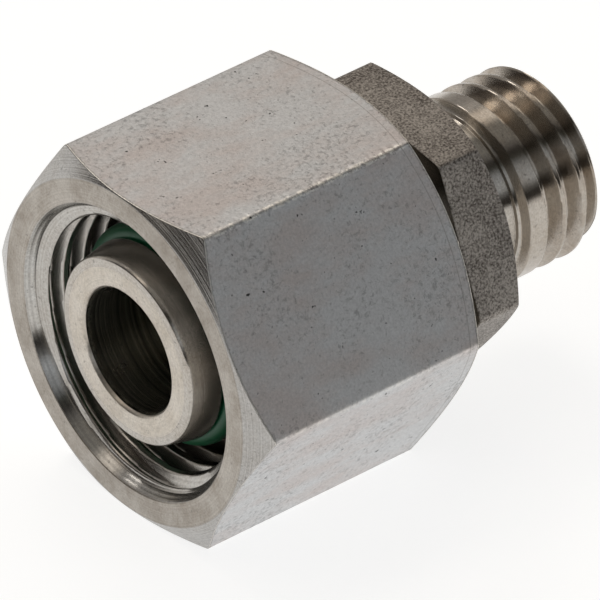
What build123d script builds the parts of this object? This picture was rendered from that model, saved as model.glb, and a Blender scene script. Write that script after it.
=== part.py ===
from build123d import *
import os
from math import radians, sqrt, tan

# Reducing coupling for hydraulic tube, in millimetres.
# The axis is X. The open face of the union nut is at X = 0, and the small threaded end points along +X.
# +Z is up: the nut lies on its bottom flat.

# Metric thread form, the same pitch on both ends, and the standard cone of tube fittings
thread_pitch = 1.5
thread_depth_inside = 0.5413 * thread_pitch
cone_half_angle = 12.0

# Union nut: its thread is M18, and the wall round the thread makes it 22 mm across the flats
nut_thread_diameter = 18.0
nut_wall = 2.0
nut_length = 17.3
nut_face_inset = 0.075
hexagon_chamfer_angle = 30.0
nut_mouth_bevel = 0.4
nut_recess_clearance = 0.05
nut_recess_depth = 0.7
nut_thread_lead_in = 0.3
nut_relief_clearance = 0.15
nut_relief_length = 2.0
nut_rear_land = 1.25
nut_rear_chamfer = 0.5

# Neck, sealing cone and nose of the body, which stand inside the nut: 14.4 mm and 12 mm across
neck_room = 1.8
neck_clearance = 0.1
cone_rise = 1.2
nose_recess = 0.2
nose_edge_bevel = 0.45
nose_wall = 2.0
passage_stop = 1.16
drill_point_half_angle = 59.0

# O-ring, 11 mm inside, and its groove in the sealing cone
o_ring_wire = 1.5
o_ring_inset = 0.5
o_ring_section_sides = 12
o_ring_behind_nose = 3.0
o_ring_seat_clearance = 0.04
o_ring_groove_width = 1.9

# Retaining ring of square wire, with its groove in the neck and the wider one in the nut
ring_wire = 1.5
ring_seat_depth = 0.8
ring_seat_clearance = 0.05
ring_from_nut_back = 2.05
ring_opening_angle = 14.0
ring_spring_room = 0.75
nut_slide_play = 0.8

# Hexagon of the body: its shoulder over the neck makes it 17 mm across the flats
hexagon_shoulder = 1.3
hexagon_gap = 1.66
hexagon_length = 3.67
hexagon_face_inset = 0.05
hexagon_turn = 7.1

# Undercut and stud thread of the small end
stud_thread_diameter = 12.0
stud_length = 8.77
stud_end_chamfer = 0.35
stud_run_out_angle = 30.0
undercut_depth = 0.7
undercut_length = 3.0

# Tube socket in the small end
tube_diameter = 6.0
tube_wall = 1.0
tube_clearance = 0.05
socket_depth = 7.0
socket_mouth_rise = 1.05

# Radii that follow from the sizes
nut_minor_radius = nut_thread_diameter / 2 - thread_depth_inside
nut_flat_radius = nut_thread_diameter / 2 + nut_wall
nut_corner_radius = nut_flat_radius * 2 / sqrt(3)
nut_face_radius = nut_flat_radius - nut_face_inset
relief_radius = nut_thread_diameter / 2 + nut_relief_clearance
neck_radius = nut_thread_diameter / 2 - neck_room
nut_rear_radius = neck_radius + neck_clearance
nose_radius = neck_radius - cone_rise
passage_radius = nose_radius - nose_wall
o_ring_inner_radius = nose_radius - o_ring_inset
ring_inner_radius = neck_radius - ring_seat_depth + ring_seat_clearance
hexagon_flat_radius = neck_radius + hexagon_shoulder
hexagon_corner_radius = hexagon_flat_radius * 2 / sqrt(3)
hexagon_face_radius = hexagon_flat_radius - hexagon_face_inset
stud_radius = stud_thread_diameter / 2
undercut_radius = stud_radius - undercut_depth
socket_radius = tube_diameter / 2 + tube_clearance
socket_mouth_radius = tube_diameter / 2 + socket_mouth_rise
tube_bore_radius = tube_diameter / 2 - tube_wall

# Positions along the axis that follow from the sizes
hexagon_start = nut_length + hexagon_gap
hexagon_end = hexagon_start + hexagon_length
stud_start = hexagon_end + undercut_length
stud_end = hexagon_end + stud_length
cone_start = nose_recess + nose_edge_bevel
cone_end = cone_start + cone_rise / tan(radians(cone_half_angle))
o_ring_position = nose_recess + o_ring_behind_nose
ring_position = nut_length - ring_from_nut_back
groove_back = ring_position + ring_wire / 2 + ring_seat_clearance
groove_width = ring_wire + nut_slide_play + 2 * ring_seat_clearance
relief_end = groove_back - groove_width - nut_rear_land
relief_start = relief_end - nut_relief_length
passage_end = hexagon_start - passage_stop

os.makedirs("parts", exist_ok=True)

# Union nut: hexagon bar, chamfered at both ends
nut_chamfer_length = (nut_corner_radius - nut_face_radius) * tan(radians(hexagon_chamfer_angle))
with BuildPart() as union_nut:
    with BuildSketch(Plane.YZ):
        RegularPolygon(nut_flat_radius, 6, major_radius=False)
    extrude(amount=nut_length)
    with BuildSketch(Plane.XY):
        with BuildLine():
            Polyline(
                (0, 0),
                (0, nut_face_radius),
                (nut_chamfer_length, nut_corner_radius),
                (nut_length - nut_chamfer_length, nut_corner_radius),
                (nut_length, nut_face_radius),
                (nut_length, 0),
                close=True,
            )
        make_face()
    revolve(axis=Axis.X, mode=Mode.INTERSECT)

    # Mouth, thread bore, thread relief and the rear bore that turns on the neck
    with BuildSketch(Plane.XY):
        with BuildLine():
            Polyline(
                (0, 0),
                (0, nut_thread_diameter / 2 + nut_mouth_bevel),
                (nut_recess_depth, nut_thread_diameter / 2 + nut_recess_clearance),
                (nut_recess_depth + nut_thread_lead_in, nut_minor_radius),
                (relief_start, nut_minor_radius),
                (relief_start, relief_radius),
                (relief_end, relief_radius),
                (relief_end, nut_rear_radius),
                (nut_length - nut_rear_chamfer, nut_rear_radius),
                (nut_length, nut_rear_radius + nut_rear_chamfer),
                (nut_length, 0),
                close=True,
            )
        make_face()
    revolve(axis=Axis.X, mode=Mode.SUBTRACT)

    # Groove for the retaining ring, wide enough for the play and deep enough to let the ring spring open
    groove_radius = ring_inner_radius + ring_wire + ring_spring_room
    with BuildSketch(Plane.XY):
        with Locations((groove_back - groove_width / 2, groove_radius / 2)):
            Rectangle(groove_width, groove_radius)
    revolve(axis=Axis.X, mode=Mode.SUBTRACT)
union_nut.part.label = "union_nut"

# Body: the hexagon, chamfered on the thread side
hexagon_chamfer_length = (hexagon_corner_radius - hexagon_face_radius) * tan(radians(hexagon_chamfer_angle))
with BuildPart() as fitting_body:
    with BuildSketch(Plane.YZ.offset(hexagon_start)):
        RegularPolygon(hexagon_flat_radius, 6, major_radius=False, rotation=hexagon_turn)
    extrude(amount=hexagon_length)
    with BuildSketch(Plane.XY):
        with BuildLine():
            Polyline(
                (hexagon_start, 0),
                (hexagon_start, hexagon_corner_radius),
                (hexagon_end - hexagon_chamfer_length, hexagon_corner_radius),
                (hexagon_end, hexagon_face_radius),
                (hexagon_end, 0),
                close=True,
            )
        make_face()
    revolve(axis=Axis.X, mode=Mode.INTERSECT)

    # Nose with a bevelled edge, the sealing cone right behind it, and the neck
    with BuildSketch(Plane.XY):
        with BuildLine():
            Polyline(
                (nose_recess, 0),
                (nose_recess, nose_radius - nose_edge_bevel),
                (cone_start, nose_radius),
                (cone_end, neck_radius),
                (hexagon_start, neck_radius),
                (hexagon_start, 0),
                close=True,
            )
        make_face()
    revolve(axis=Axis.X)

    # Undercut and stud, with a run-out and a lead-in at the ends of the thread
    stud_run_out = undercut_depth * tan(radians(stud_run_out_angle))
    with BuildSketch(Plane.XY):
        with BuildLine():
            Polyline(
                (hexagon_end, 0),
                (hexagon_end, undercut_radius),
                (stud_start, undercut_radius),
                (stud_start + stud_run_out, stud_radius),
                (stud_end - stud_end_chamfer, stud_radius),
                (stud_end, stud_radius - stud_end_chamfer),
                (stud_end, 0),
                close=True,
            )
        make_face()
    revolve(axis=Axis.X)

    # Wide passage from the nose, drilled to a point, and the tube socket from the small end
    drill_point_length = (passage_radius - tube_bore_radius) / tan(radians(drill_point_half_angle))
    socket_cone_length = (socket_mouth_radius - socket_radius) / tan(radians(cone_half_angle))
    with BuildSketch(Plane.XY):
        with BuildLine():
            Polyline(
                (nose_recess, 0),
                (nose_recess, passage_radius),
                (passage_end, passage_radius),
                (passage_end + drill_point_length, tube_bore_radius),
                (stud_end - socket_depth, tube_bore_radius),
                (stud_end - socket_depth, socket_radius),
                (stud_end - socket_cone_length, socket_radius),
                (stud_end, socket_mouth_radius),
                (stud_end, 0),
                close=True,
            )
        make_face()
    revolve(axis=Axis.X, mode=Mode.SUBTRACT)

    # Groove of the O-ring in the cone, and the seat of the retaining ring in the neck
    o_ring_groove_bottom = o_ring_inner_radius - o_ring_seat_clearance
    o_ring_groove_depth = neck_radius - o_ring_groove_bottom
    ring_seat_width = ring_wire + 2 * ring_seat_clearance
    with BuildSketch(Plane.XY):
        with Locations((o_ring_position, o_ring_groove_bottom + o_ring_groove_depth / 2)):
            Rectangle(o_ring_groove_width, o_ring_groove_depth)
        with Locations((ring_position, neck_radius)):
            Rectangle(ring_seat_width, 2 * ring_seat_depth)
    revolve(axis=Axis.X, mode=Mode.SUBTRACT)
fitting_body.part.label = "fitting_body"

# O-ring: green rubber ring in the groove of the cone, its round section drawn with a few flat sides
with BuildPart() as o_ring:
    with BuildSketch(Plane.XY):
        with Locations((o_ring_position, o_ring_inner_radius + o_ring_wire / 2)):
            RegularPolygon(o_ring_wire / 2, o_ring_section_sides)
    revolve(axis=Axis.X)
o_ring.part.label = "o_ring"

# Retaining ring: square spring wire, open at the top so that it can be sprung over the cone
with BuildPart() as retaining_ring:
    with BuildSketch(Plane.XY.rotated((90 + ring_opening_angle / 2, 0, 0))):
        with Locations((ring_position, ring_inner_radius + ring_wire / 2)):
            Rectangle(ring_wire, ring_wire)
    revolve(axis=Axis.X, revolution_arc=360 - ring_opening_angle)
retaining_ring.part.label = "retaining_ring"

export_step(union_nut.part, "parts/union_nut.step")
export_step(fitting_body.part, "parts/fitting_body.step")
export_step(o_ring.part, "parts/o_ring.step")
export_step(retaining_ring.part, "parts/retaining_ring.step")
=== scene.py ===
import math
import bpy
import numpy as np
from mathutils import Matrix, Vector


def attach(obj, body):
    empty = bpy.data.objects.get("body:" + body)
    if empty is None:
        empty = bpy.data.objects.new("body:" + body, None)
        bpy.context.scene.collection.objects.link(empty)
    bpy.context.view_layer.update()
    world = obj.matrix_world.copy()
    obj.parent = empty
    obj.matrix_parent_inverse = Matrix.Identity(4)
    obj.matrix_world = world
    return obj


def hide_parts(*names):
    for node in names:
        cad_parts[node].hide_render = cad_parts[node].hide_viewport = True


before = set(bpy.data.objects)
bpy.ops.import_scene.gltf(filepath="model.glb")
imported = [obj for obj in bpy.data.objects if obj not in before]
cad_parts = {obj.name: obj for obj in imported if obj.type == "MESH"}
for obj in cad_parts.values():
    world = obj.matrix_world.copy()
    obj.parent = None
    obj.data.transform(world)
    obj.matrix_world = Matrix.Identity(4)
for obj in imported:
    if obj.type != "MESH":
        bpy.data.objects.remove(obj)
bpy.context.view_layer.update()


# Camera
# A long lens two thirds of a metre away, looking down into the open mouth of the nut.
# Its place, aim and roll come from the corners of both hexagons.
camera_place = Vector((-0.329561, -0.420846, 0.375819))
camera_aim = Vector((0.013079, -0.000204, -0.001969))
camera_roll = math.radians(-0.553)
forward = (camera_aim - camera_place).normalized()
level_right = forward.cross(Vector((0, 0, 1))).normalized()
level_up = level_right.cross(forward)
right = math.cos(camera_roll) * level_right + math.sin(camera_roll) * level_up
up = math.cos(camera_roll) * level_up - math.sin(camera_roll) * level_right
camera = bpy.data.objects.new("camera", bpy.data.cameras.new("camera"))
camera.data.sensor_width = 36.0
camera.data.lens = 675.6
camera.data.clip_start = 0.05
camera.data.clip_end = 20.0
turned = Matrix((right, up, -forward)).transposed().to_4x4()
camera.matrix_world = Matrix.Translation(camera_place) @ turned
bpy.context.scene.collection.objects.link(camera)
bpy.context.scene.camera = camera
bpy.context.scene.view_settings.view_transform = "Standard"


# Studio
# A closed tent of grey cloth with pale and dark panels, one overhead soft box, and white beyond the tent.
# Steel shows the panels as bands. The camera looks through the tent and sees only the white.
def add(tree, kind, links=None, **settings):
    made = tree.nodes.new(kind)
    for name, value in settings.items():
        setattr(made, name, value)
    for key, value in (links or {}).items():
        if isinstance(value, bpy.types.NodeSocket):
            tree.links.new(value, made.inputs[key])
        else:
            made.inputs[key].default_value = value
    return made


def linear(hex_colour):
    parts = [int(hex_colour[k:k + 2], 16) / 255 for k in (0, 2, 4)]
    return [c / 12.92 if c <= 0.04045 else ((c + 0.055) / 1.055) ** 2.4 for c in parts] + [1.0]


def blank_material(name):
    made = bpy.data.materials.new(name)
    made.use_nodes = True
    made.node_tree.nodes.clear()
    return made


def linked_mesh(name, points, faces):
    mesh = bpy.data.meshes.new(name)
    mesh.from_pydata(points, [], faces)
    made = bpy.data.objects.new(name, mesh)
    bpy.context.scene.collection.objects.link(made)
    return made


world = bpy.data.worlds.new("white_studio")
bpy.context.scene.world = world
world.use_nodes = True
world.node_tree.nodes.clear()
beyond = add(world.node_tree, "ShaderNodeBackground", {"Color": (1, 1, 1, 1), "Strength": 1.0})
add(world.node_tree, "ShaderNodeOutputWorld", {"Surface": beyond.outputs[0]})

# The direction towards the camera, for which the panels are placed
camera_side = Vector((-0.5055, -0.6435, 0.5747))
cloth_glow = 1.5

# The panels run from the far side of the paper, over the top, to the near side.
# Each is the place on a round piece where it shows, in degrees, and its colour.
cloth_panels = (
    (0, "c0bebc"), (58, "bcbab8"), (70, "a29f9b"), (80, "8a8784"), (95, "868380"), (100, "d8d0c6"),
    (105, "d8d0c6"), (110, "75736f"), (121, "75736f"), (126, "585654"), (129, "2c2a28"), (133, "34342f"),
    (138, "84878a"), (147, "9ea1a4"), (151, "60605f"), (154, "2a2826"), (158, "2a2826"), (162, "a8a5a0"),
    (180, "c8c5c0"),
)

# Two dark panels stand before the open mouth. Each is a direction and two angles in degrees: the panel
# is fully dark inside the first and ends at the second.
dark_colour = "2a2521"
dark_panels = (((-0.985, 0.05, 0.05), 14, 30), ((-0.80, 0.58, 0.14), 14, 30))

# The tent is a closed ball
tent_radius = 1.6
around, upward = 32, 16
tent_points = [
    (
        tent_radius * math.sin(math.pi * j / upward) * math.cos(2 * math.pi * i / around),
        tent_radius * math.sin(math.pi * j / upward) * math.sin(2 * math.pi * i / around),
        tent_radius * math.cos(math.pi * j / upward),
    )
    for j in range(1, upward) for i in range(around)
]
tent_points += [(0, 0, tent_radius), (0, 0, -tent_radius)]
tent_faces = [
    (
        around * j + i,
        around * (j + 1) + i,
        around * (j + 1) + (i + 1) % around,
        around * j + (i + 1) % around,
    )
    for j in range(upward - 2) for i in range(around)
]
tent_faces += [(len(tent_points) - 2, i, (i + 1) % around) for i in range(around)]
last_ring = around * (upward - 2)
tent_faces += [(len(tent_points) - 1, last_ring + (i + 1) % around, last_ring + i) for i in range(around)]
tent = linked_mesh("studio_tent", tent_points, tent_faces)
tent.visible_camera = False
cloth = blank_material("grey_tent_cloth")
cloth.cycles.emission_sampling = "NONE"
tree = cloth.node_tree
place = add(tree, "ShaderNodeTexCoord").outputs["Object"]
look = add(tree, "ShaderNodeVectorMath", {0: place}, operation="NORMALIZE").outputs[0]
halfway = add(tree, "ShaderNodeVectorMath", {0: look, 1: camera_side}, operation="ADD")
halfway = add(tree, "ShaderNodeSeparateXYZ", {0: halfway.outputs[0]})
turn = add(tree, "ShaderNodeMath", {0: halfway.outputs[2], 1: halfway.outputs[1]}, operation="ARCTAN2")
share = add(tree, "ShaderNodeMath", {0: turn.outputs[0], 1: math.pi}, operation="DIVIDE")
panels = add(tree, "ShaderNodeValToRGB", {0: share.outputs[0]})
stops = panels.color_ramp.elements
stops[0].position, stops[1].position = 0, 1
stops[0].color, stops[1].color = linear(cloth_panels[0][1]), linear(cloth_panels[-1][1])
for angle, colour in cloth_panels[1:-1]:
    stops.new(angle / 180).color = linear(colour)
tone = panels.outputs[0]
for towards, inner, outer in dark_panels:
    dot = add(tree, "ShaderNodeVectorMath", {
        0: look, 1: Vector(towards).normalized(),
    }, operation="DOT_PRODUCT")
    shade = add(tree, "ShaderNodeMapRange", {
        "Value": dot.outputs["Value"],
        "From Min": math.cos(math.radians(outer)),
        "From Max": math.cos(math.radians(inner)),
    }, interpolation_type="SMOOTHSTEP")
    tone = add(tree, "ShaderNodeMix", {
        0: shade.outputs["Result"], 6: tone, 7: linear(dark_colour),
    }, data_type="RGBA").outputs[2]
lit_cloth = add(tree, "ShaderNodeEmission", {"Color": tone, "Strength": cloth_glow})
add(tree, "ShaderNodeOutputMaterial", {"Surface": lit_cloth.outputs[0]})
tent.data.materials.append(cloth)


def soft_box(name, place, aim, width, height, watts, colour):
    lamp = bpy.data.lights.new(name, "AREA")
    lamp.shape = "RECTANGLE"
    lamp.size, lamp.size_y = width, height
    lamp.energy = watts
    lamp.color = linear(colour)[:3]
    box = bpy.data.objects.new(name, lamp)
    box.location = place
    box.rotation_euler = (Vector(aim) - Vector(place)).to_track_quat("-Z", "Y").to_euler()
    bpy.context.scene.collection.objects.link(box)


soft_box("overhead_soft_box", (0.14, 0.62, 0.74), (0.015, 0, 0), 0.5, 0.2, 1.3, "fffaf4")


# Floor
# White seamless paper under the object. It glows a little to the camera, so it joins the white
# background and keeps only the soft shadow where the nut lies on it.
paper_half_width = 0.6
floor_height = -0.011
paper_lines = 13
steps = np.linspace(-1, 1, paper_lines)
paper_points = [(paper_half_width * a, paper_half_width * b, floor_height) for a in steps for b in steps]
paper_faces = [
    (paper_lines * i + j, paper_lines * (i + 1) + j, paper_lines * (i + 1) + j + 1, paper_lines * i + j + 1)
    for i in range(paper_lines - 1) for j in range(paper_lines - 1)
]
paper = linked_mesh("paper_floor", paper_points, paper_faces)
seamless = blank_material("seamless_paper")
tree = seamless.node_tree
matt = add(tree, "ShaderNodeBsdfDiffuse", {"Color": linear("b4b4b2")})
glow = add(tree, "ShaderNodeEmission", {"Color": (1, 1, 1, 1), "Strength": 0.8})
both = add(tree, "ShaderNodeAddShader", {0: matt.outputs[0], 1: glow.outputs[0]})
rays = add(tree, "ShaderNodeLightPath")
seen = add(tree, "ShaderNodeMath", {
    0: rays.outputs["Is Camera Ray"], 1: rays.outputs["Is Glossy Ray"],
}, operation="MAXIMUM")
seen = add(tree, "ShaderNodeMath", {
    0: seen.outputs[0], 1: rays.outputs["Is Transmission Ray"],
}, operation="MAXIMUM")
shown = add(tree, "ShaderNodeMixShader", {0: seen.outputs[0], 1: matt.outputs[0], 2: both.outputs[0]})
add(tree, "ShaderNodeOutputMaterial", {"Surface": shown.outputs[0]})
paper.data.materials.append(seamless)


# Fitting body
# One piece turned from stainless bar: the nose and neck inside the nut, the small milled hexagon,
# the undercut and the M12 x 1.5 stud. The rings of the turning tool stay on every round face.
thread_pitch = 1.5
flank_slope = math.tan(math.radians(60))
chamfer_slope = math.tan(math.radians(30))
nose_face = 0.2
nose_radius = 6.0
nose_flat_radius, nose_rim_radius, nose_edge = 5.3, 5.34, 0.55
neck_radius = 7.2
cone_start = 0.65
cone_slope = math.tan(math.radians(12))
cone_end = cone_start + (neck_radius - nose_radius) / cone_slope
groove_start, groove_end, groove_radius = 2.25, 4.15, 5.46
wire_seat_start, wire_seat_end, wire_seat_radius = 14.45, 16.05, 6.4
hexagon_start = 18.96
hexagon_end = 22.63
hexagon_flats = 17.0
hexagon_turn = 7.1
hexagon_edge = 0.14
hexagon_face_radius = 8.45
shoulder_radius = 8.0
undercut_radius = 5.2
undercut_end, lip_start, thread_start = 25.42, 25.5, 25.66
stud_radius = 6.0
stud_end = 31.4
stud_end_chamfer = 0.35
stud_root_radius = 5.08
end_face_middle_radius = 4.9
passage_radius, passage_end, drill_point = 4.0, 17.8, 19.0
socket_radius, socket_depth = 3.05, 7.0
socket_mouth_radius, socket_cone_length = 4.05, 4.7
tube_bore_radius = 2.0

# A rounded edge takes at most the first share of each line beside it, its outer rows stay within the
# second share, and an edge wider than the last number, in mm, gets more rows
cut_share, outer_share, wide_edge = 0.42, 0.49, 0.12


def spread_columns(corner_angle, per_corner):
    # Columns crowd together at the six corners of a hexagon, so that its edges stay crisp
    near = np.array(per_corner)
    one = np.concatenate((-near[::-1], near[near > 0]))
    return np.radians(np.sort(np.concatenate([corner_angle + 60 * k + one for k in range(6)])))


def rounded(corners):
    # Each corner is an x, a radius and the radius of its edge; a row on each side keeps the edge tight
    rows = []
    for k, (x, r, edge) in enumerate(corners):
        here = np.array((x, r))
        if edge == 0 or k in (0, len(corners) - 1):
            rows.append(here)
            continue
        before, after = np.array(corners[k - 1][:2]) - here, np.array(corners[k + 1][:2]) - here
        reach_before, reach_after = np.linalg.norm(before), np.linalg.norm(after)
        before, after = before / reach_before, after / reach_after
        turn = math.pi - math.acos(np.clip(before @ after, -1, 1))
        cut = min(edge * math.tan(turn / 2), cut_share * reach_before, cut_share * reach_after)
        outer = 1.5 * cut + 0.02
        start, end = here + before * cut, here + after * cut
        rows.append(here + before * min(outer, outer_share * reach_before))
        for t in np.linspace(0, 1, 6 if edge > wide_edge else 3):
            rows.append((1 - t) ** 2 * start + 2 * t * (1 - t) * here + t ** 2 * end)
        rows.append(here + after * min(outer, outer_share * reach_after))
    return rows


def hexagon_radius(angles, across_flats, corner_angle, edge):
    # The distance to the nearest flat, with the two flats at each corner joined by a small round
    away = (np.degrees(angles) - corner_angle + 30) % 60 - 30
    near = np.cos(np.radians(30 - np.abs(away)))
    far = np.cos(np.radians(30 + np.abs(away)))
    sharp = 12.0 / edge
    flats = (near ** sharp + far ** sharp) ** (1 / sharp)
    return across_flats / 2 / flats


def skin(name, rows, angles, zones, threads):
    # A closed skin: each row is one ring of points, and the last row joins the first.
    # The faces of a thread are split along the diagonal that runs with it, up or down.
    count, columns = len(rows), len(angles)
    grid = np.zeros((count, columns, 3))
    for k, (x, r) in enumerate(rows):
        r = np.broadcast_to(r, columns)
        grid[k, :, 0] = x
        grid[k, :, 1] = r * np.cos(angles)
        grid[k, :, 2] = r * np.sin(angles)
    faces, kinds = [], []
    for k in range(count):
        k_next = (k + 1) % count
        lean = threads.get(zones[k])
        for j in range(columns):
            j_next = (j + 1) % columns
            a, b = k * columns + j, k * columns + j_next
            c, d = k_next * columns + j_next, k_next * columns + j
            if lean == "up":
                faces += [(a, b, c), (a, c, d)]
                kinds += [zones[k]] * 2
            elif lean == "down":
                faces += [(a, b, d), (b, c, d)]
                kinds += [zones[k]] * 2
            else:
                faces.append((a, b, c, d))
                kinds.append(zones[k])
    made = linked_mesh(name, (grid.reshape(-1, 3) / 1000).tolist(), faces)
    names = list(dict.fromkeys(zones))
    made.data.polygons.foreach_set("material_index", [names.index(kind) for kind in kinds])
    made.data.polygons.foreach_set("use_smooth", [True] * len(faces))
    made.data.update()
    return made, names


def snapped(positions, edges):
    # Moves the nearest row onto each edge of the thread, so that the edge runs clean round the part
    rows = np.array(positions)
    spacing = rows[1] - rows[0]
    for edge in edges:
        k = int(round((edge - rows[0]) / spacing))
        if 0 < k < len(rows) - 1:
            rows[k] = edge
    return rows


def smooth_step(value):
    value = np.clip(value, 0, 1)
    return value * value * (3 - 2 * value)


body_columns = spread_columns(hexagon_turn, (
    0, 0.25, 0.6, 1.1, 2, 3.4, 5, 7, 9, 11, 13, 15, 17, 19, 21, 23, 25, 27, 29,
))
body_angles = np.degrees(body_columns)
body_hexagon = hexagon_radius(body_columns, hexagon_flats, hexagon_turn, hexagon_edge)
hexagon_chamfer = (body_hexagon - hexagon_face_radius) * chamfer_slope
body_rows, body_zones = [], []


def lay(rows, zones, zone, points):
    for point in points:
        rows.append(point)
        zones.append(zone)


# Nose, groove of the rubber ring, sealing cone, neck with the groove of the retaining ring
lay(body_rows, body_zones, "faced", [
    (nose_face, r) for r in (passage_radius + 0.24, passage_radius + 0.28, nose_flat_radius)
])
lay(body_rows, body_zones, "turned", rounded((
    (nose_face, nose_rim_radius, 0),
    (nose_face, nose_radius - cone_slope * (cone_start - nose_face), nose_edge),
    (groove_start, nose_radius + cone_slope * (groove_start - cone_start), 0.06),
    (groove_start, groove_radius, 0.1),
    (groove_end, groove_radius, 0.1),
    (groove_end, nose_radius + cone_slope * (groove_end - cone_start), 0.06),
    (cone_end, neck_radius, 0.3),
    (wire_seat_start, neck_radius, 0.05),
    (wire_seat_start, wire_seat_radius, 0.1),
    (wire_seat_end, wire_seat_radius, 0.1),
    (wire_seat_end, neck_radius, 0.05),
    (hexagon_start, neck_radius, 0.15),
    (hexagon_start, shoulder_radius, 0),
)))

# Hexagon, with a small break at its near edge and the turned chamfer at its far edge
lay(body_rows, body_zones, "turned", [
    (hexagon_start, shoulder_radius + (body_hexagon - shoulder_radius) * t) for t in (0.3, 0.6, 0.9)
])
lay(body_rows, body_zones, "milled", [
    (hexagon_start, body_hexagon - 0.06),
    (hexagon_start + 0.015, body_hexagon - 0.02),
    (hexagon_start + 0.06, body_hexagon),
])
hexagon_reach = hexagon_end - hexagon_chamfer - hexagon_start
lay(body_rows, body_zones, "milled", [
    (hexagon_start + hexagon_reach * t, body_hexagon)
    for t in (0.05, 0.15, 0.3, 0.45, 0.6, 0.75, 0.88, 0.95, 0.985)
])
lay(body_rows, body_zones, "turned", [
    (hexagon_end - hexagon_chamfer * (1 - t), body_hexagon + (hexagon_face_radius - body_hexagon) * t)
    for t in (0.0, 0.06, 0.2, 0.4, 0.6, 0.8, 0.94, 1.0)
])

# Undercut: a soft root at the hexagon, a shallow neck and a fine bright edge before the thread
lay(body_rows, body_zones, "turned", rounded((
    (hexagon_end, hexagon_face_radius - 0.03, 0),
    (hexagon_end, undercut_radius, 0.8),
    (undercut_end, undercut_radius, 0.03),
    (lip_start, undercut_radius + 0.2, 0.03),
    (thread_start, undercut_radius + 0.24, 0),
))[:-1])

# Stud thread: one helical groove, which fades out on the side away from the camera. On that side the
# first crest reaches a little nearer to the hexagon. Angles are in degrees round the axis.
groove_at, groove_angle = 27.71, 136.0
groove_half_width, root_half_width = 0.65, 0.125
groove_sides = (-groove_half_width, -root_half_width, root_half_width, groove_half_width)
fade_from, fade_over = -80, 90
crest_start, crest_reach, first_wall_depth = 26.0, 0.28, 0.56
reach_from, reach_from_over = -20, 70
reach_to, reach_to_over = 130.0, 35
end_edge_round = 0.12
thread_rows = np.linspace(thread_start, stud_end, 97)
body_thread = np.zeros((len(thread_rows), len(body_angles), 2))
for j, angle in enumerate(body_angles):
    winding = (angle + 120) % 360 - 120
    lead = groove_at + thread_pitch * (winding - groove_angle) / 360
    centres = [lead + thread_pitch * k for k in range(4)]
    reach = smooth_step((reach_to - winding) / reach_to_over)
    reach *= 1 - smooth_step((reach_from - winding) / reach_from_over)
    wall_top = crest_start - crest_reach * reach
    edges = [centre + side for centre in centres for side in groove_sides]
    x = snapped(thread_rows, edges + [stud_end - stud_end_chamfer])
    r = np.full(len(x), stud_radius)
    for k, centre in enumerate(centres):
        faded = smooth_step((winding + 360 * k - fade_from) / fade_over)
        depth = faded * (stud_radius - stud_root_radius)
        groove = np.clip((groove_half_width - np.abs(x - centre)) * flank_slope, 0, depth)
        r = np.minimum(r, stud_radius - groove)
    r = np.minimum(r, stud_radius - np.clip((wall_top - x) * flank_slope, 0, first_wall_depth))
    past = x - (stud_end - stud_end_chamfer)
    bend = np.clip(past + end_edge_round, 0, 1) ** 2 / (4 * end_edge_round)
    r = np.minimum(r, stud_radius - np.where(past > end_edge_round, past, bend))
    body_thread[:, j, 0], body_thread[:, j, 1] = x, r
lay(body_rows, body_zones, "stud_thread", [(row[:, 0], row[:, 1]) for row in body_thread])

# End face, tube socket with its sealing mouth, tube bore and the wide passage
end_edge = np.minimum(stud_radius - stud_end_chamfer, body_thread[-1, :, 1])
lay(body_rows, body_zones, "turned", [(stud_end, end_edge - 0.02)])
lay(body_rows, body_zones, "turned", rounded((
    (stud_end, end_face_middle_radius, 0),
    (stud_end, socket_mouth_radius, 0.08),
    (stud_end - socket_cone_length, socket_radius, 0.1),
    (stud_end - socket_depth, socket_radius, 0.1),
    (stud_end - socket_depth, tube_bore_radius, 0.08),
    (drill_point, tube_bore_radius, 0.05),
    (passage_end, passage_radius, 0.1),
    (17.0, passage_radius, 0),
)))
lay(body_rows, body_zones, "drilled", [
    (x, passage_radius) for x in (16.0, 13.0, 10.0, 8.0, 6.0, 4.0, 2.5, 1.5, 0.8, 0.4)
])
lay(body_rows, body_zones, "faced", [
    (nose_face + inward, passage_radius + outward)
    for inward, outward in ((0.3, 0), (0.2, 0.03), (0.08, 0.1), (0.02, 0.19))
])
fitting, fitting_zones = skin(
    "fitting_body_steel", body_rows, body_columns, body_zones, {"stud_thread": "up"},
)
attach(fitting, "fitting")
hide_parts("fitting_body")


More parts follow.
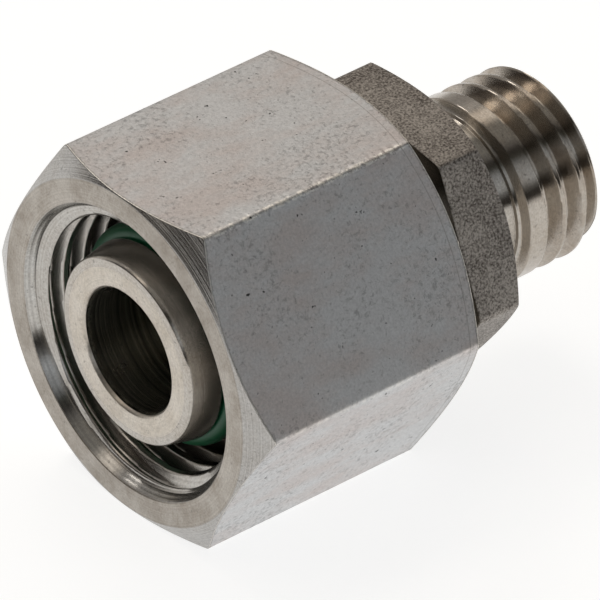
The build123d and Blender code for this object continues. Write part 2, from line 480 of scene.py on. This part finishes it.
# Turned stainless steel: its fine tool rings stretch every reflection across them, and catch a little dirt
def turned_steel(
    name, colour, roughness, ring_spacing, ring_depth, stretch, stain_colour, stain_share, ring_tone,
):
    steel = blank_material(name)
    tree = steel.node_tree
    place = add(tree, "ShaderNodeTexCoord").outputs["Object"]
    mm = add(tree, "ShaderNodeVectorMath", {0: place, 1: (1000, 1000, 1000)}, operation="MULTIPLY").outputs[0]
    axes = add(tree, "ShaderNodeSeparateXYZ", {0: mm})
    flat = add(tree, "ShaderNodeCombineXYZ", {1: axes.outputs[1], 2: axes.outputs[2]})
    radius = add(tree, "ShaderNodeVectorMath", {0: flat.outputs[0]}, operation="LENGTH").outputs["Value"]
    along = add(tree, "ShaderNodeMath", {0: axes.outputs[0], 1: radius}, operation="ADD").outputs[0]
    rings = add(tree, "ShaderNodeTexNoise", {
        "W": along, "Scale": 1 / ring_spacing, "Detail": 2.0,
    }, noise_dimensions="1D")
    cloud = add(tree, "ShaderNodeTexNoise", {"Vector": mm, "Scale": 0.45, "Detail": 7.0, "Roughness": 0.7})
    speck = add(tree, "ShaderNodeTexNoise", {"Vector": mm, "Scale": 3.2, "Detail": 4.0, "Roughness": 0.7})
    grain = add(tree, "ShaderNodeTexNoise", {"Vector": mm, "Scale": 7.0, "Detail": 2.0, "Roughness": 0.6})
    stained = add(tree, "ShaderNodeMapRange", {
        "Value": cloud.outputs[0], "From Min": 0.4, "From Max": 0.72, "To Max": stain_share,
    })
    tint = add(tree, "ShaderNodeMix", {
        0: stained.outputs[0], 6: linear(colour), 7: linear(stain_colour),
    }, data_type="RGBA")
    fleck = add(tree, "ShaderNodeMapRange", {
        "Value": speck.outputs[0], "From Min": 0.6, "From Max": 0.7, "To Min": 1.0, "To Max": 0.62,
    })
    fine = add(tree, "ShaderNodeMapRange", {
        "Value": grain.outputs[0], "From Min": 0.3, "From Max": 0.7, "To Min": 0.86, "To Max": 1.12,
    })
    line = add(tree, "ShaderNodeMapRange", {
        "Value": rings.outputs[0], "From Min": 0.3, "From Max": 0.7,
        "To Min": 1 - ring_tone, "To Max": 1 + ring_tone,
    })
    dirt = add(tree, "ShaderNodeMath", {0: fleck.outputs[0], 1: fine.outputs[0]}, operation="MULTIPLY")
    dirt = add(tree, "ShaderNodeMath", {0: dirt.outputs[0], 1: line.outputs[0]}, operation="MULTIPLY")
    shade = add(tree, "ShaderNodeVectorMath", {0: tint.outputs[2]}, operation="SCALE")
    tree.links.new(dirt.outputs[0], shade.inputs["Scale"])
    rough = add(tree, "ShaderNodeMapRange", {
        "Value": cloud.outputs[0], "From Min": 0.3, "From Max": 0.7,
        "To Min": roughness * 0.85, "To Max": roughness * 1.2,
    })
    relief = add(tree, "ShaderNodeBump", {
        "Height": rings.outputs[0], "Strength": 1.0, "Distance": ring_depth / 1000,
    })
    tangent = add(tree, "ShaderNodeTangent", direction_type="RADIAL", axis="X")
    metal = add(tree, "ShaderNodeBsdfPrincipled", {
        "Base Color": shade.outputs[0], "Metallic": 1.0, "Roughness": rough.outputs[0],
        "Anisotropic": stretch, "Anisotropic Rotation": 0.25,
        "Normal": relief.outputs[0], "Tangent": tangent.outputs[0],
    })
    add(tree, "ShaderNodeOutputMaterial", {"Surface": metal.outputs[0]})
    return steel


# Milled hexagon: flat, dull and grainy, where the cutter and the acid bath left a fine tooth
def milled_steel(name, light, dark, roughness, grain_size, grain_depth, cloud_size):
    steel = blank_material(name)
    tree = steel.node_tree
    place = add(tree, "ShaderNodeTexCoord").outputs["Object"]
    mm = add(tree, "ShaderNodeVectorMath", {0: place, 1: (1000, 1000, 1000)}, operation="MULTIPLY").outputs[0]
    grain = add(tree, "ShaderNodeTexNoise", {
        "Vector": mm, "Scale": 1 / grain_size, "Detail": 2.0, "Roughness": 0.6,
    })
    cloud = add(tree, "ShaderNodeTexNoise", {
        "Vector": mm, "Scale": 1 / cloud_size, "Detail": 5.0, "Roughness": 0.6,
    })
    mixed = add(tree, "ShaderNodeMath", {
        0: cloud.outputs[0], 1: 0.4, 2: grain.outputs[0],
    }, operation="MULTIPLY_ADD")
    share = add(tree, "ShaderNodeMapRange", {"Value": mixed.outputs[0], "From Min": 0.54, "From Max": 0.84})
    tint = add(tree, "ShaderNodeMix", {
        0: share.outputs[0], 6: linear(dark), 7: linear(light),
    }, data_type="RGBA")
    relief = add(tree, "ShaderNodeBump", {
        "Height": grain.outputs[0], "Strength": 1.0, "Distance": grain_depth / 1000,
    })
    metal = add(tree, "ShaderNodeBsdfPrincipled", {
        "Base Color": tint.outputs[2], "Metallic": 1.0, "Roughness": roughness, "Normal": relief.outputs[0],
    })
    add(tree, "ShaderNodeOutputMaterial", {"Surface": metal.outputs[0]})
    return steel


# Turned finishes: name, colour, roughness, spacing and depth of the tool rings in mm, stretch of the
# reflection, colour and share of the stains, and how strongly the rings show in the colour.
# Milled finish: name, light and dark colour, roughness, then size and depth of the grain and size of the
# clouds in mm.
body_finishes = {
    "faced": turned_steel("faced_stainless_nose", "c4bdb3", 0.32, 0.09, 0.002, 0.5, "a0937f", 0.4, 0.06),
    "turned": turned_steel("turned_stainless", "b4afa8", 0.2, 0.1, 0.003, 0.8, "9a8b78", 0.3, 0.08),
    "milled": milled_steel("milled_stainless_hexagon", "b2aca5", "5f5954", 0.6, 0.14, 0.016, 2.5),
    "stud_thread": turned_steel("cut_thread_stainless", "b2aba2", 0.2, 0.06, 0.003, 0.8, "8f7c66", 0.5, 0.08),
    "drilled": turned_steel("drilled_stainless", "c4c2b8", 0.24, 0.3, 0.03, 0.6, "8e8674", 0.5, 0.5),
}
for zone in fitting_zones:
    fitting.data.materials.append(body_finishes[zone])


# O-ring
# Moulded green fluoro rubber, 11 mm inside and 1.5 mm thick, in the groove of the cone.
# It is smooth and slightly oily, so it shows a soft broad sheen.
ring_place, ring_line_radius, ring_section_radius = 3.2, 6.25, 0.75
ring_angles = np.linspace(0, 2 * math.pi, 160, endpoint=False)
ring_section = np.linspace(0, 2 * math.pi, 36, endpoint=False)
ring_rows = [
    (ring_place - ring_section_radius * math.cos(a), ring_line_radius + ring_section_radius * math.sin(a))
    for a in ring_section
]
seal = skin("o_ring_rubber", ring_rows, ring_angles, ["rubber"] * len(ring_rows), {})[0]
rubber = blank_material("green_fluoro_rubber")
tree = rubber.node_tree
place = add(tree, "ShaderNodeTexCoord").outputs["Object"]
mm = add(tree, "ShaderNodeVectorMath", {0: place, 1: (1000, 1000, 1000)}, operation="MULTIPLY").outputs[0]
bloom = add(tree, "ShaderNodeTexNoise", {"Vector": mm, "Scale": 1.2, "Detail": 3.0})
pore = add(tree, "ShaderNodeTexNoise", {"Vector": mm, "Scale": 9.0, "Detail": 1.0})
tint = add(tree, "ShaderNodeMix", {
    0: bloom.outputs[0], 6: linear("14603f"), 7: linear("1e7a52"),
}, data_type="RGBA")
skin_relief = add(tree, "ShaderNodeBump", {"Height": pore.outputs[0], "Strength": 0.4, "Distance": 0.00001})
moulded = add(tree, "ShaderNodeBsdfPrincipled", {
    "Base Color": tint.outputs[2], "Roughness": 0.42, "IOR": 1.5, "Normal": skin_relief.outputs[0],
})
add(tree, "ShaderNodeOutputMaterial", {"Surface": moulded.outputs[0]})
seal.data.materials.append(rubber)
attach(seal, "fitting")
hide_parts("o_ring")


# Retaining ring
# Drawn spring wire, sprung into the groove of the neck. It stays hidden between neck and nut, so
# its own solid is shown, with the dull grey of drawn wire.
wire = milled_steel("drawn_spring_wire", "a8a6a2", "7a7672", 0.35, 0.2, 0.004, 3.0)
retaining_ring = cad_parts["retaining_ring"]
retaining_ring.data.materials.clear()
retaining_ring.data.materials.append(wire)


# Union nut
# Cold-drawn hexagon bar, bored and threaded M18 x 1.5, with both ends chamfered on the lathe.
# The flats keep the mottled skin of the drawn bar, with small pits and handling marks.
nut_length = 17.3
nut_flats = 22.0
nut_edge = 0.08
nut_face_radius = 10.925
mouth_radius = 9.4
recess_radius, recess_depth = 9.05, 0.7
lead_in_depth = 1.0
nut_minor_radius = 8.188
nut_major_radius = 9.02
relief_start, relief_end, relief_radius = 10.4, 12.4, 9.15
wire_room_start, wire_room_end, wire_room_radius = 13.65, 16.05, 8.7
rear_radius, rear_bevel = 7.3, 0.5
worn_angle = 120.0
nut_columns = spread_columns(0, (
    0, 0.15, 0.35, 0.6, 1, 1.6, 2.6, 4, 5.6, 7.5, 9.5, 11.5, 13.5, 15.5, 17.5, 19.5, 21.5, 23.5, 25.5, 27.5,
    29.5,
))
nut_angles = np.degrees(nut_columns)
nut_hexagon = hexagon_radius(nut_columns, nut_flats, 0, nut_edge)
nut_chamfer = (nut_hexagon - nut_face_radius) * chamfer_slope
nut_rows, nut_zones = [], []

lay(nut_rows, nut_zones, "end_face", rounded((
    (0.05, mouth_radius - 0.02, 0),
    (0, mouth_radius + 0.05, 0.05),
    (0, nut_face_radius - 0.1, 0),
)))
lay(nut_rows, nut_zones, "end_face", [(0, nut_face_radius - 0.04)])
lay(nut_rows, nut_zones, "chamfer", [
    (nut_chamfer * t + 0.004 * (t == 0), nut_face_radius + (nut_hexagon - nut_face_radius) * t)
    for t in (0.0, 0.08, 0.25, 0.45, 0.65, 0.85, 0.96)
])
flat_share = np.concatenate(((0.0, 0.004, 0.012), np.linspace(0.025, 0.975, 118), (0.988, 0.996, 1.0)))

# Handling has blunted the upper corner on the camera's side, in dents of uneven width
dent_size, whole_share = 0.1, 0.35
draws = np.random.default_rng(11)
dents = draws.random((len(flat_share), 2))
dents[:4] = dents[-4:] = 0
blunt = nut_edge + dent_size * dents[:, 0] * (dents[:, 1] > whole_share)
worn_corner = np.abs(nut_angles - worn_angle) < 30
lay(nut_rows, nut_zones, "drawn", [
    (
        nut_chamfer + (nut_length - 2 * nut_chamfer) * t,
        np.where(worn_corner, hexagon_radius(nut_columns, nut_flats, 0, blunt[k]), nut_hexagon),
    )
    for k, t in enumerate(flat_share)
])
lay(nut_rows, nut_zones, "chamfer", [
    (nut_length - nut_chamfer * t, nut_face_radius + (nut_hexagon - nut_face_radius) * t)
    for t in (0.96, 0.85, 0.65, 0.45, 0.25, 0.08, 0.0)
])
lay(nut_rows, nut_zones, "bore", rounded((
    (nut_length, nut_face_radius - 0.04, 0),
    (nut_length, rear_radius + rear_bevel, 0.05),
    (nut_length - rear_bevel, rear_radius, 0.05),
    (wire_room_end, rear_radius, 0.05),
    (wire_room_end, wire_room_radius, 0.1),
    (wire_room_start, wire_room_radius, 0.1),
    (wire_room_start, rear_radius, 0.05),
    (relief_end, rear_radius, 0.05),
    (relief_end, relief_radius, 0.2),
    (relief_start, relief_radius, 0.2),
    (relief_start, relief_radius - 0.03, 0),
)))

# Inner thread: one helical groove from the relief to the bevelled mouth. Each crest leans a little
# towards the mouth, and a flank runs from each side of it to the flat root.
inner_crest_end, inner_crest_angle = 1.07, 18.0
crest_width, crest_lean = 0.375, 0.25
crest_steps = (-0.8, -crest_width, 0, 0.48)
inner_rows = np.linspace(recess_depth, relief_start - 0.02, 131)
nut_thread = np.zeros((len(inner_rows), len(nut_angles), 2))
for j, angle in enumerate(nut_angles):
    crest_end = inner_crest_end + thread_pitch * (angle - inner_crest_angle) / 360
    crests = [crest_end + thread_pitch * k for k in range(-2, 9)]
    x = snapped(inner_rows, [crest + step for crest in crests for step in crest_steps])
    lift = []
    for crest in crests:
        leaning = crest_lean * np.minimum(crest - x, crest_width)
        flank = np.clip(crest - x - crest_width, 0, 2) * flank_slope
        lift.append(np.where(x > crest, (x - crest) * flank_slope, leaning + flank))
    r = nut_minor_radius + np.minimum(np.min(lift, axis=0), nut_major_radius - nut_minor_radius)
    bevel_share = (x - recess_depth) / (lead_in_depth - recess_depth)
    r = np.maximum(r, recess_radius - bevel_share * (recess_radius - nut_minor_radius))
    nut_thread[:, j, 0], nut_thread[:, j, 1] = x, r
lay(nut_rows, nut_zones, "nut_thread", [(row[:, 0], row[:, 1]) for row in nut_thread[::-1]])
lay(nut_rows, nut_zones, "mouth", [
    (recess_depth - 0.03, recess_radius + 0.005),
    (0.5, 9.15),
    (0.25, 9.275),
    (0.12, mouth_radius - 0.06),
])
nut, nut_zone_names = skin("union_nut_steel", nut_rows, nut_columns, nut_zones, {"nut_thread": "down"})
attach(nut, "nut")
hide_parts("union_nut")


# Drawn bar skin: satin, mottled grey and warm patches, tiny dark pits, faint scuffs and rubbed corners with a
# painted highlight
def drawn_bar(name):
    steel = blank_material(name)
    tree = steel.node_tree
    place = add(tree, "ShaderNodeTexCoord").outputs["Object"]
    mm = add(tree, "ShaderNodeVectorMath", {0: place, 1: (1000, 1000, 1000)}, operation="MULTIPLY").outputs[0]
    drawn = add(tree, "ShaderNodeVectorMath", {0: mm, 1: (0.5, 1, 1)}, operation="MULTIPLY").outputs[0]
    axes = add(tree, "ShaderNodeSeparateXYZ", {0: mm})
    cloud = add(tree, "ShaderNodeTexNoise", {"Vector": drawn, "Scale": 0.3, "Detail": 6.0, "Roughness": 0.65})
    smear = add(tree, "ShaderNodeTexNoise", {"Vector": mm, "Scale": 0.22, "Detail": 2.0})
    scuff = add(tree, "ShaderNodeTexNoise", {
        "Vector": mm, "Scale": 3.0, "Detail": 4.0, "Roughness": 0.75, "Distortion": 0.4,
    })
    grain = add(tree, "ShaderNodeTexNoise", {"Vector": mm, "Scale": 6.5, "Detail": 3.0, "Roughness": 0.65})
    spots = add(tree, "ShaderNodeTexNoise", {"Vector": mm, "Scale": 1.5, "Detail": 2.0, "Roughness": 0.9})
    warm = add(tree, "ShaderNodeMapRange", {"Value": cloud.outputs[0], "From Min": 0.42, "From Max": 0.62})
    tint = add(tree, "ShaderNodeMix", {
        0: warm.outputs[0], 6: linear("c9c9c9"), 7: linear("c5bebb"),
    }, data_type="RGBA")
    crowd = add(tree, "ShaderNodeMapRange", {
        "Value": smear.outputs[0], "From Min": 0.38, "From Max": 0.6, "To Min": 0.08, "To Max": 0.0,
    })
    thick = add(tree, "ShaderNodeMath", {0: scuff.outputs[0], 1: crowd.outputs[0]}, operation="SUBTRACT")
    worn = add(tree, "ShaderNodeMapRange", {
        "Value": thick.outputs[0], "From Min": 0.31, "From Max": 0.42, "To Min": 0.66, "To Max": 1.0,
    })
    pit = add(tree, "ShaderNodeMapRange", {
        "Value": spots.outputs[0], "From Min": 0.69, "From Max": 0.73, "To Min": 1.0, "To Max": 0.12,
    })
    fine = add(tree, "ShaderNodeMapRange", {
        "Value": grain.outputs[0], "From Min": 0.3, "From Max": 0.7, "To Min": 0.85, "To Max": 1.13,
    })
    shade = add(tree, "ShaderNodeMath", {0: worn.outputs[0], 1: pit.outputs[0]}, operation="MULTIPLY")
    shade = add(tree, "ShaderNodeMath", {0: shade.outputs[0], 1: fine.outputs[0]}, operation="MULTIPLY")
    colour = add(tree, "ShaderNodeVectorMath", {0: tint.outputs[2]}, operation="SCALE")
    tree.links.new(shade.outputs[0], colour.inputs["Scale"])

    # Within about 0.2 mm of a corner the skin is painted bright in short dashes, a painted highlight on
    # rubbed edges, most of all at the worn one
    angle = add(tree, "ShaderNodeMath", {0: axes.outputs[2], 1: axes.outputs[1]}, operation="ARCTAN2")
    angle = add(tree, "ShaderNodeMath", {0: angle.outputs[0]}, operation="DEGREES")
    corner = add(tree, "ShaderNodeMath", {0: angle.outputs[0], 1: 30.0}, operation="PINGPONG")
    strip = add(tree, "ShaderNodeMapRange", {
        "Value": corner.outputs[0], "From Min": 0.6, "From Max": 1.15, "To Min": 1.0, "To Max": 0.0,
    })
    dash = add(tree, "ShaderNodeTexNoise", {"Vector": mm, "Scale": 2.8, "Detail": 3.0, "Roughness": 0.8})
    dash = add(tree, "ShaderNodeMapRange", {"Value": dash.outputs[0], "From Min": 0.46, "From Max": 0.56})
    rubbed_highlight = add(tree, "ShaderNodeMath", {0: strip.outputs[0], 1: dash.outputs[0]}, operation="MULTIPLY")
    most = add(tree, "ShaderNodeMath", {0: angle.outputs[0], 1: worn_angle, 2: 10.0}, operation="COMPARE")
    most = add(tree, "ShaderNodeMapRange", {"Value": most.outputs[0], "To Min": 0.25, "To Max": 1.0})
    rubbed_highlight = add(tree, "ShaderNodeMath", {0: rubbed_highlight.outputs[0], 1: most.outputs[0]}, operation="MULTIPLY")
    # The pale colour of the corner dashes is a painted highlight
    colour = add(tree, "ShaderNodeMix", {
        0: rubbed_highlight.outputs[0], 6: colour.outputs[0], 7: linear("f6f3ec"),
    }, data_type="RGBA")

    # Each flat ends on a curve where the chamfer cuts it: a thin burr drawn as a pale line of painted
    # highlight, dark specks behind it, and at the rear a thin dull line 0.6 mm from the curve
    across = add(tree, "ShaderNodeCombineXYZ", {1: axes.outputs[1], 2: axes.outputs[2]})
    radius = add(tree, "ShaderNodeVectorMath", {0: across.outputs[0]}, operation="LENGTH").outputs["Value"]
    rise = add(tree, "ShaderNodeMath", {
        0: radius, 1: -chamfer_slope, 2: chamfer_slope * nut_face_radius,
    }, operation="MULTIPLY_ADD")
    near = add(tree, "ShaderNodeMath", {0: axes.outputs[0], 1: rise.outputs[0]}, operation="ADD")
    far = add(tree, "ShaderNodeMath", {0: rise.outputs[0], 1: axes.outputs[0]}, operation="SUBTRACT")
    far = add(tree, "ShaderNodeMath", {0: far.outputs[0], 1: nut_length}, operation="ADD")
    end = add(tree, "ShaderNodeMath", {0: near.outputs[0], 1: far.outputs[0]}, operation="MINIMUM")
    uneven = add(tree, "ShaderNodeTexNoise", {"Vector": mm, "Scale": 3.5, "Detail": 3.0, "Roughness": 0.8})
    end = add(tree, "ShaderNodeMath", {
        0: uneven.outputs[0], 1: 0.28, 2: end.outputs[0],
    }, operation="MULTIPLY_ADD")
    burr_highlight = add(tree, "ShaderNodeMapRange", {
        "Value": end.outputs[0], "From Min": 0.16, "From Max": 0.22, "To Min": 1.0, "To Max": 0.0,
    })
    specks = add(tree, "ShaderNodeMapRange", {
        "Value": end.outputs[0], "From Min": 0.22, "From Max": 0.3, "To Min": 0.5, "To Max": 0.0,
    })
    colour = add(tree, "ShaderNodeMix", {
        0: specks.outputs[0], 6: colour.outputs[2], 7: linear("5a5650"),
    }, data_type="RGBA")
    # The pale burr line is a painted highlight
    colour = add(tree, "ShaderNodeMix", {
        0: burr_highlight.outputs[0], 6: colour.outputs[2], 7: linear("d8d4cc"),
    }, data_type="RGBA")
    band = add(tree, "ShaderNodeMath", {0: far.outputs[0], 1: 0.62, 2: 0.035}, operation="COMPARE")
    band = add(tree, "ShaderNodeMath", {0: band.outputs[0], 1: 0.4}, operation="MULTIPLY")
    colour = add(tree, "ShaderNodeMix", {
        0: band.outputs[0], 6: colour.outputs[2], 7: linear("7a746c"),
    }, data_type="RGBA")
    rough = add(tree, "ShaderNodeMapRange", {
        "Value": scuff.outputs[0], "From Min": 0.3, "From Max": 0.7, "To Min": 0.5, "To Max": 0.38,
    })
    low = add(tree, "ShaderNodeMath", {0: grain.outputs[0], 1: worn.outputs[0]}, operation="ADD")
    low = add(tree, "ShaderNodeMath", {0: low.outputs[0], 1: pit.outputs[0]}, operation="ADD")
    relief = add(tree, "ShaderNodeBump", {"Height": low.outputs[0], "Strength": 1.0, "Distance": 0.00001})
    metal = add(tree, "ShaderNodeBsdfPrincipled", {
        "Base Color": colour.outputs[2], "Metallic": 1.0, "Roughness": rough.outputs[0],
        "Normal": relief.outputs[0],
    })
    add(tree, "ShaderNodeOutputMaterial", {"Surface": metal.outputs[0]})
    return steel


nut_finishes = {
    "drawn": drawn_bar("drawn_stainless_bar"),
    "end_face": turned_steel("faced_stainless_mouth", "aea8a0", 0.38, 0.12, 0.003, 0.4, "82776a", 0.7, 0.08),
    "chamfer": turned_steel("chamfer_cut_stainless", "aaa8a5", 0.22, 0.11, 0.016, 0.7, "8c8276", 0.3, 0.16),
    "mouth": turned_steel("bevelled_stainless_mouth", "b4b2ae", 0.2, 0.12, 0.008, 0.8, "94887a", 0.3, 0.12),
    "nut_thread": turned_steel(
        "cut_inner_thread_stainless", "b2afaa", 0.2, 0.06, 0.003, 0.8, "80705e", 0.3, 0.08,
    ),
    "bore": turned_steel("bored_stainless", "aca8a2", 0.25, 0.15, 0.004, 0.7, "80705e", 0.3, 0.08),
}
for zone in nut_zone_names:
    nut.data.materials.append(nut_finishes[zone])
